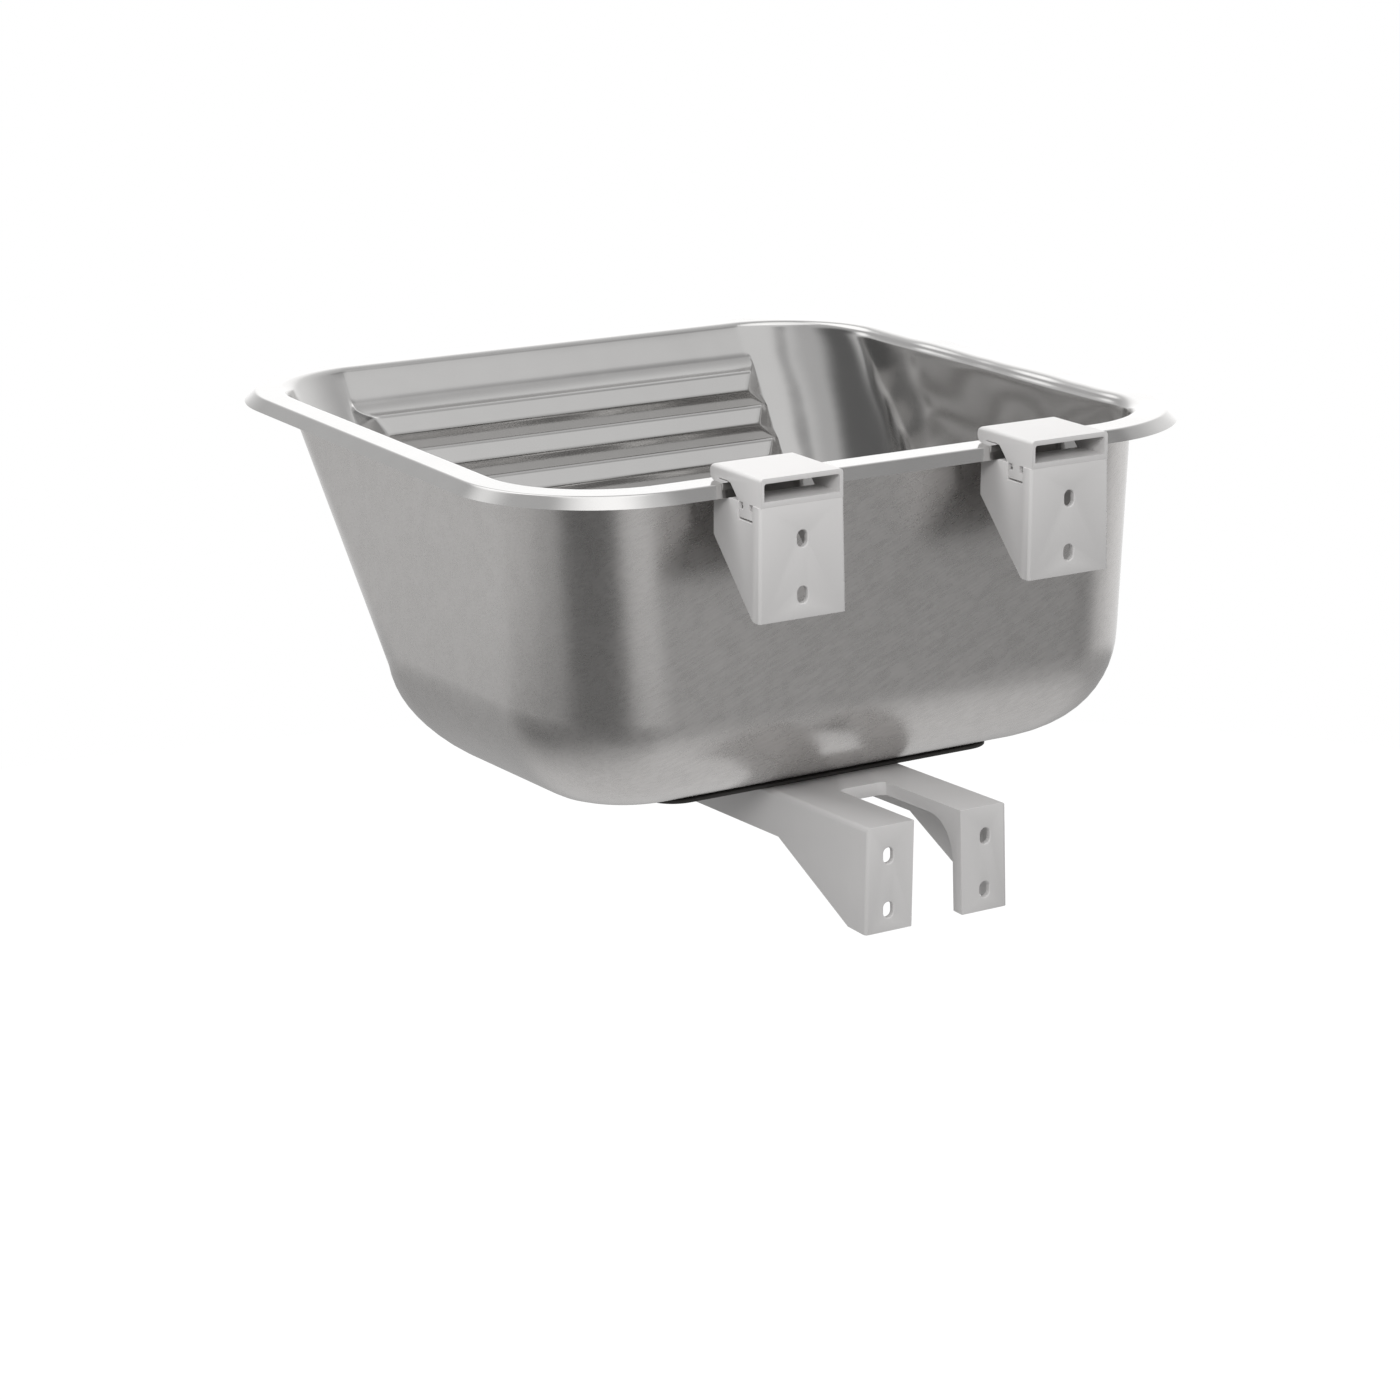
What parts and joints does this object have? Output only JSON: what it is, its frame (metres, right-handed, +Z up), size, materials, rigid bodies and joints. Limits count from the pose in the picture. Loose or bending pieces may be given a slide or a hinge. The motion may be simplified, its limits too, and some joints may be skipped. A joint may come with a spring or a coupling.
{
  "type": "wall-hung utility trough",
  "caption": "Wall-hung pressed steel laundry trough with a sloping washboard front, held by snap-clip consoles under its lip and a forked support arm below.",
  "frame": {"origin": "on the wall's plane, at the centreline, at the height of the rim's top", "axes": "+Y into the wall, so the user stands on the -Y side; +Z up; +X to the user's right"},
  "size_m": [0.53, 0.5535, 0.3049],
  "materials": {
    "steel": "satin outside, polished inside",
    "plastic": "satin moulded",
    "pad": "matt"
  },
  "bodies": {
    "wall_brackets": {"console_left": "plastic", "console_right": "plastic", "lower_support": "plastic"},
    "trough": {"bowl": "steel", "sound_pad": "pad"},
    "clip_left": {"rim_clip_left": "plastic"},
    "clip_right": {"rim_clip_right": "plastic"}
  },
  "joints": [
    {"name": "trough_lift", "type": "slide", "parent": "wall_brackets", "child": "trough", "axis": [0, 0, 1], "range_m": [0, 0.06]},
    {"name": "clip_left_pull", "type": "slide", "parent": "trough", "child": "clip_left", "axis": [0, 0, 1], "range_m": [0, 0.04]},
    {"name": "clip_right_pull", "type": "slide", "parent": "trough", "child": "clip_right", "axis": [0, 0, 1], "range_m": [0, 0.04]}
  ]
}
